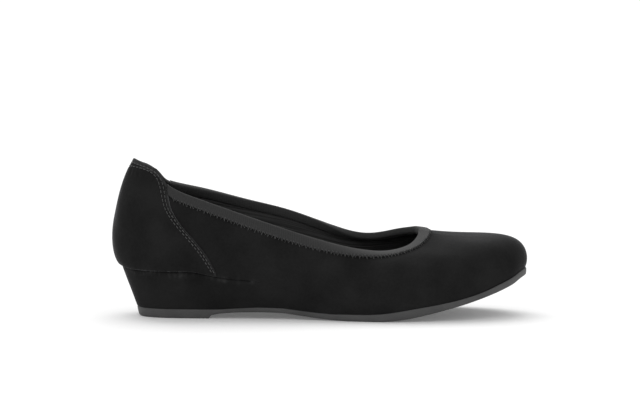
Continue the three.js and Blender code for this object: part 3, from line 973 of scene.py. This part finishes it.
def tube_parts(spine, radii, sides):
    """Vertices and faces of a closed tube along a spine."""
    along = unit(np.gradient(spine, axis=0))
    helper = np.tile(np.array([0.0, 0.0, 1.0]), (len(spine), 1))
    helper[np.abs(along[:, 2]) > 0.9] = (1.0, 0.0, 0.0)
    side = unit(np.cross(along, helper))
    up = np.cross(side, along)
    angles = np.linspace(0, 2 * np.pi, sides, endpoint=False)
    rings = (spine[:, None] + radii[:, None, None]
             * (side[:, None] * np.cos(angles)[:, None] + up[:, None] * np.sin(angles)[:, None]))
    faces = []
    for i in range(len(spine) - 1):
        for j in range(sides):
            k = (j + 1) % sides
            faces.append((i * sides + j, i * sides + k, (i + 1) * sides + k, (i + 1) * sides + j))
    faces.append(tuple(range(sides))[::-1])
    last = (len(spine) - 1) * sides
    faces.append(tuple(range(last, last + sides)))
    return rings.reshape(-1, 3), faces


def threads(name, strokes, radius, sides=6):
    """Short thread strokes joined into one piece. A stroke is a line of points on the surface."""
    vertices = []
    faces = []
    count = 0
    for spine in strokes:
        share = np.linspace(0, 1, len(spine))
        radii = radius * np.sqrt(np.clip(1 - (2 * share - 1) ** 4, 0.06, 1))
        points, quads = tube_parts(spine, radii, sides)
        vertices.append(points)
        faces.extend(tuple(corner + count for corner in quad) for quad in quads)
        count += len(points)
    mesh = bpy.data.meshes.new(name)
    mesh.from_pydata(to_frame(np.concatenate(vertices)).tolist(), [], faces)
    piece = bpy.data.objects.new(name, mesh)
    bpy.context.collection.objects.link(piece)
    bpy.context.view_layer.objects.active = piece
    bpy.ops.object.mode_set(mode="EDIT")
    bpy.ops.mesh.select_all(action="SELECT")
    bpy.ops.mesh.normals_make_consistent(inside=False)
    bpy.ops.object.mode_set(mode="OBJECT")
    deselect()
    piece.select_set(True)
    bpy.ops.object.shade_smooth_by_angle(angle=math.radians(60))
    deselect()
    return piece


def row_strokes(line, offset, pitch, length, arch):
    """Strokes of a running stitch along a line of stations and shares."""
    path = beside(line[:, 0], line[:, 1], offset, with_folds=False)
    walked = np.concatenate([[0], np.cumsum(np.linalg.norm(np.diff(path, axis=0), axis=1))])
    strokes = []
    reach = np.linspace(0, 1, 7)
    for k in range(int(walked[-1] / pitch)):
        at = (k + 0.15) * pitch + reach * length
        station = np.interp(at, walked, line[:, 0])
        share = np.interp(at, walked, line[:, 1])
        lift = arch * (1 - (2 * reach - 1) ** 2) - 0.15
        strokes.append(beside(station, share, offset + lift))
    return strokes


def make_counter_stitches():
    """Both rows of the counter's running stitch."""
    strokes = []
    for line in ROW_LINES:
        offset = CLEARANCE + OVERLAY - STITCH_SINK
        strokes += row_strokes(line, offset, STITCH_PITCH, STITCH_LENGTH, STITCH_ARCH)
    return threads("counter_stitches", strokes, STITCH_RADIUS)


dress(make_counter_stitches(), THREAD, "counter")


# Elastic binding

# Gap between the band's ends and the counter, in stations
BAND_END_GAP = 0.012
# Rounding of the band's fold over the collar: how far it comes in at each of three heights
FOLD_CORNER = table("inward rise", [
    [0.12, 0.50],
    [0.45, 0.98],
    [1.00, 1.24],
])

# Teeth of the zigzag seam over the band's lower edge: how far they reach above and below it, how far
# off the suede their feet stand, from one to the next, and half their thickness, all in mm
TOOTH_ABOVE = 0.9
TOOTH_BELOW = 1.9
TOOTH_FOOT = 0.12
TOOTH_BOW = 0.25
TOOTH_PITCH = 2.2
TOOTH_RADIUS = 0.21
# Station at which the teeth begin, and how unevenly they are spaced
TEETH_START = 3.12
TOOTH_UNEVEN = 0.34


def make_band():
    """A U section folded over the collar, its edges rounded."""
    near = 0.1
    far = CLEARANCE + BAND_THICKNESS
    columns = 700
    depth = BAND_WIDTH - far
    inner_depth = BAND_INNER_WIDTH - far
    corner = list(zip(*FOLD_CORNER.values()))
    section = table("offset depth rise", [
        [near, depth - 0.1, 0],
        [0.55 * far, depth + 0.06, 0],
        [0.85 * far, depth - 0.05, 0],
        [far, depth - 0.40, 0],
        [far + 0.05, 0.80 * depth, 0],
        [far + 0.08, 0.60 * depth, 0],
        [far + 0.08, 0.40 * depth, 0],
        [far + 0.05, 0.20 * depth, 0],
        [far, 0, 0],
        *[[far - inward, 0, rise] for inward, rise in corner],
        [-0.5 * UPPER_WALL, 0, far],
        *[[-UPPER_WALL - far + inward, 0, rise] for inward, rise in corner[::-1]],
        [-UPPER_WALL - far, 0, 0],
        [-UPPER_WALL - far - 0.03, 0.35 * inner_depth, 0],
        [-UPPER_WALL - far, 0.8 * inner_depth, 0],
        [-UPPER_WALL - 0.85 * far, inner_depth - 0.1, 0],
        [-UPPER_WALL - 0.5 * far, inner_depth, 0],
        [-UPPER_WALL - near, inner_depth - 0.1, 0],
        [-UPPER_WALL - near, 0.5 * inner_depth, 0],
        [-UPPER_WALL - near, 0, near],
        [near, 0, near],
        [near, 0.5 * depth, 0],
    ])
    below = section["depth"]
    ends = counter_front(share_below_collar(3.0, below)) + BAND_END_GAP
    reach = np.linspace(0, 1, columns)[:, None]
    stations = ends + (ROUND - 2 * ends) * reach
    shares = share_below_collar(stations, below)
    shares = np.where(below > 0, shares, 1.0)
    points = beside(stations, shares, section["offset"], section["rise"])
    return sheet_piece("collar_band", points, False, True, 50)


dress(make_band(), ELASTIC, "collar_binding", "collar_binding")


def zigzag_strokes(depth, offset_above):
    """Strokes of a zigzag seam over a band edge at that depth under the collar."""
    stations = np.linspace(TEETH_START, ROUND - TEETH_START, 900)
    edge = beside(stations, share_below_collar(stations, depth), 0, with_folds=False)
    walked = np.concatenate([[0], np.cumsum(np.linalg.norm(np.diff(edge, axis=0), axis=1))])
    count = int(walked[-1] / TOOTH_PITCH)
    steps = np.arange(2 * count + 1)
    uneven = TOOTH_UNEVEN * np.sin(steps * 1.9) * np.sin(steps * 0.63 + 0.5)
    knots = np.interp((steps + uneven) * TOOTH_PITCH / 2, walked, stations)
    strokes = []
    reach = np.linspace(0, 1, 6)
    for k in range(2 * count):
        high_first = k % 2 == 0
        low = depth + TOOTH_BELOW * (0.64 + 0.52 * math.sin(k * 2.4) * math.sin(k * 0.71 + 1))
        high = depth - TOOTH_ABOVE * (0.8 + 0.3 * math.sin(k * 1.7))
        depth_a, depth_b = (high, low) if high_first else (low, high)
        lift_a, lift_b = (offset_above, TOOTH_FOOT) if high_first else (TOOTH_FOOT, offset_above)
        station = knots[k] + (knots[k + 1] - knots[k]) * reach
        down = depth_a + (depth_b - depth_a) * reach
        lift = lift_a + (lift_b - lift_a) * reach + TOOTH_BOW * np.sin(np.pi * reach)
        strokes.append(beside(station, share_below_collar(station, down), lift))
    return strokes


def make_band_stitches():
    """The teeth that hold the band's lower edge down."""
    far = CLEARANCE + BAND_THICKNESS
    teeth = zigzag_strokes(BAND_WIDTH - far, far - 0.02)
    return threads("collar_band_stitches", teeth, TOOTH_RADIUS, 5)


dress(make_band_stitches(), TAPE_THREAD, "collar_binding")


# Wedge, sole and insole


def inside_feather(station, inset):
    return feather(station) - outward(station) * np.asarray(inset)[..., None]


def sole_stations(end, count):
    """Stations from the heel back to an end, closer together where the outline turns."""
    t = np.linspace(0, 1, count)
    ease = t + 0.10 * np.sin(2 * np.pi * t) * (-1 if end == TOE_STATION else 0)
    return ease * end


# Stations between which the unit sole's edge rises to the upper and the wedge's cover runs out
RUN_OUT = 7.2
COVER_END = 8.8
# How far the cover's top edge goes up into the upper in front of the seam
COVER_TUCK = 0.7


def sole_line(x, station):
    """Top edge of the unit sole, rising to the upper where the wedge's cover runs out."""
    share = smooth_step(station, RUN_OUT, COVER_END)
    return unit_top_z(x) * (1 - share) + (seat_z(x) + CLEARANCE - 0.02) * share


def slab(name, stations, across, wall, top, bottom, angle=40, painted_highlight=None):
    """A flat piece: top row, medial wall, bottom row, lateral wall at each station.

    wall lists functions of a station that give its edge points, top edge first.
    """
    lateral = [level(stations) for level in wall]
    medial = [level(ROUND - stations) for level in wall]
    share = np.linspace(0, 1, across)[None, :, None]
    upper_row = lateral[0][:, None] * (1 - share) + medial[0][:, None] * share
    lower_row = lateral[-1][:, None] * (1 - share) + medial[-1][:, None] * share
    upper_row[..., 2] = top(upper_row, stations[:, None])
    lower_row[..., 2] = bottom(lower_row, stations[:, None])
    medial_wall = np.stack(medial[1:-1], 1)
    lateral_wall = np.stack(lateral[1:-1], 1)
    loops = np.concatenate([upper_row, medial_wall, lower_row[:, ::-1], lateral_wall[:, ::-1]], 1)
    return sheet_piece(name, loops, False, True, angle, painted_highlight)


def cover_foot(x, station):
    """Lower edge of the wedge's cover, never above its top."""
    return np.minimum(sole_line(x, station) + 0.05, seat_z(x) + 0.8 * CLEARANCE)


def make_wedge():
    """The suede-covered wedge: its cover puckers a little where it is lasted in under the upper."""
    def level(share):
        def edge(station):
            top = feather(station)
            foot = inside_feather(station, HEEL_SLANT * inset_share(lap(station)))
            point = top + (foot - top) * share
            reach = np.linalg.norm(foot - top, axis=-1)
            pucker = 0.45 * seam_wrinkles(station + 0.04) * np.exp(-share / 0.09)
            lip = (0.12 + 0.53 * seam_depth(station)) * np.exp(-share / 0.035)
            lip = lip + 0.35 * np.exp(-(1 - share) / 0.02)
            hollow = math.sin(math.pi * share) * 0.02 * reach + lip - pucker
            point = point - outward(station) * hollow[..., None]
            dip = (COVER_TUCK - 0.4 * CLEARANCE) * seam_depth(station)
            z_top = seat_z(point[..., 0]) + COVER_TUCK - dip
            z_foot = cover_foot(point[..., 0], lap(station))
            point[..., 2] = z_top + (z_foot - z_top) * share
            return point
        return edge

    shares = np.concatenate([[0, 0.008, 0.02, 0.04], np.linspace(0.07, 0.96, 22), [0.98, 1]])
    stations = sole_stations(COVER_END, 300)
    across = 12
    # Painted highlight on the cover's top, lighter on the pucker wrinkles where light would catch them
    light = np.clip(0.25 + seam_wrinkles(stations), 0, 1) * seam_depth(stations)
    wander = 0.05 + 0.05 * np.sin(stations * 4.1 + 1.0)
    side = 0.55 * light[:, None] * np.exp(-((shares - wander[:, None]) / 0.07) ** 2)
    flat = np.zeros((len(stations), across))
    painted_highlight = np.concatenate([flat, side[:, 1:-1], flat, side[:, 1:-1][:, ::-1]], 1)
    return slab(
        "wedge_cover", stations, across, [level(s) for s in shares],
        lambda row, station: seat_z(row[..., 0]) + 0.4 * CLEARANCE,
        lambda row, station: cover_foot(row[..., 0], station),
        60, painted_highlight,
    )


dress(make_wedge(), SUEDE, "wedge", "wedge")

# Grooves of the tread: depth, distance apart, and the size and length of their wave across the sole
TREAD_DEPTH = 0.9
TREAD_PITCH = 5.2
TREAD_WAVE = 1.6
TREAD_WAVE_LENGTH = 17
# Width of the plain rim round the grooves, and where they run from and to, from the heel back
TREAD_RIM = 4.5
HEEL_GROOVES = (22, 54)
FORE_GROOVES = (128, 240)
# How far the unit sole's lower edge slants in at the heel back
BACK_SLANT = 1.3


def between(x, span):
    """1 inside a span and 0 outside, changing over one millimetre."""
    return np.clip(x - span[0], 0, 1) * np.clip(span[1] - x, 0, 1)


def tread(row, station):
    """Moulded tread: wavy grooves across the heel and the forefoot inside a plain rim."""
    x, y = row[..., 0], row[..., 1]
    wave = x + TREAD_WAVE * np.sin(y * 2 * math.pi / TREAD_WAVE_LENGTH)
    groove = np.clip(np.cos(wave * 2 * math.pi / TREAD_PITCH) * 2.2 - 1.2, 0, 1)
    share = np.linspace(0, 1, row.shape[1])[None]
    width = np.linalg.norm(row[:, -1] - row[:, 0], axis=-1)[:, None]
    rim = np.minimum(share, 1 - share) * width
    inside = np.clip((rim - TREAD_RIM) / 0.8, 0, 1)
    grooved = np.maximum(between(x, HEEL_GROOVES), between(x, FORE_GROOVES))
    return TREAD_DEPTH * groove * inside * grooved


def make_outsole():
    """The unit sole: wedge line on top, tread block at the heel, rounded lower edge."""
    def bottom_z(x, station):
        return under_z(x) * smooth_step(station, TREAD_FRONT, TREAD_FRONT + TREAD_RAMP)

    def level(inset, share):
        def edge(station):
            count = lap(station)
            slant = BACK_SLANT * (1 - share) * np.exp(-(count / 1.3) ** 2)
            point = inside_feather(station, HEEL_SLANT * inset_share(count) + inset + slant)
            low = bottom_z(point[..., 0], count)
            high = sole_line(point[..., 0], count)
            point[..., 2] = low + (high - low) * share
            return point
        return edge

    side = table("inset share", [
        [0.25, 1],
        [0.05, 0.95],
        [0, 0.88],
        [0, 0.62],
        [0.08, 0.40],
        [0.25, 0.20],
        [0.55, 0.08],
        [1.0, 0.015],
        [1.5, 0],
    ])
    wall = [level(inset, share) for inset, share in zip(*side.values())]
    stations = sole_stations(TOE_STATION, 620)
    ramp = TREAD_FRONT + TREAD_RAMP * np.array([0, 0.5, 1])
    stations = np.unique(np.concatenate([stations, ramp]))
    return slab(
        "unit_sole", stations, 64, wall,
        lambda row, station: sole_line(row[..., 0], station),
        lambda row, station: bottom_z(row[..., 0], station) + tread(row, station),
        35,
    )


dress(make_outsole(), RUBBER, "outsole", "outsole")


def make_insole():
    """The padded sock: soft rounded edge, a shallow cup for the foot."""
    inset = UPPER_WALL + CLEARANCE + 0.2

    def level(extra, up):
        def edge(station):
            point = inside_feather(station, np.full(np.shape(station), inset + extra))
            point[..., 2] = seat_z(point[..., 0]) + CLEARANCE + INSOLE_THICKNESS * up
            return point
        return edge

    def top(row, station):
        share = np.linspace(0, 1, row.shape[1])[None]
        cup = 0.5 * np.sin(np.pi * share) ** 2
        return seat_z(row[..., 0]) + CLEARANCE + INSOLE_THICKNESS - cup

    wall = [level(0.7, 1), level(0.2, 0.9), level(0, 0.6), level(0, 0)]
    return slab(
        "insole_sock", sole_stations(TOE_STATION, 220), 26, wall, top,
        lambda row, station: seat_z(row[..., 0]) + CLEARANCE, 60,
    )


SOCK_PIECE = dress(make_insole(), SOCK, "insole", "insole")


# Stage, camera and light


FLOOR_SIZE = 12


def make_floor():
    """A wide floor under the shoe, which is stage and no piece of it."""
    deselect()
    bpy.ops.mesh.primitive_plane_add(size=FLOOR_SIZE)
    floor = bpy.context.object
    floor.name = "floor"
    floor.data.materials.append(floor_finish())
    deselect()


CAMERA_DISTANCE = 2500.0
CAMERA_HEIGHT = 300.0
AIM_X = 126.0
AIM_HEIGHT = 68.6
MM_PER_PIXEL = 0.608
FRAME_WIDTH = 640
SENSOR = 36.0


def make_camera():
    """A long lens a little above the shoe, level with its lateral side."""
    place = to_frame([AIM_X, -CAMERA_DISTANCE, CAMERA_HEIGHT])
    tilt = math.atan2(CAMERA_HEIGHT - AIM_HEIGHT, CAMERA_DISTANCE)
    bpy.ops.object.camera_add(location=place, rotation=(math.pi / 2 - tilt, 0, 0))
    camera = bpy.context.object
    camera.name = "camera"
    camera.data.sensor_width = SENSOR
    camera.data.lens = CAMERA_DISTANCE / MM_PER_PIXEL / FRAME_WIDTH * SENSOR
    camera.data.clip_start = 0.1
    camera.data.clip_end = 50
    bpy.context.scene.camera = camera


WORLD_LIGHT = 0.72
TOP_LIGHT = 1.60
TOP_LIGHT_TILT = math.radians(-34)
TOP_LIGHT_LEAN = math.radians(-8)
TOP_LIGHT_SPREAD = math.radians(50)


def make_light():
    """White surround and one soft top light from behind the shoe, leaning a little."""
    world = bpy.data.worlds.new("studio")
    bpy.context.scene.world = world
    world.use_nodes = True
    surround = world.node_tree.nodes["Background"]
    surround.inputs["Color"].default_value = (1, 1, 1, 1)
    surround.inputs["Strength"].default_value = WORLD_LIGHT
    turn = (TOP_LIGHT_TILT, TOP_LIGHT_LEAN, 0)
    bpy.ops.object.light_add(type="SUN", location=(0, 0.5, 1.5), rotation=turn)
    light = bpy.context.object
    light.name = "soft top light"
    light.data.energy = TOP_LIGHT
    light.data.angle = TOP_LIGHT_SPREAD
    bpy.context.scene.view_settings.view_transform = "Standard"


make_floor()
make_camera()
make_light()
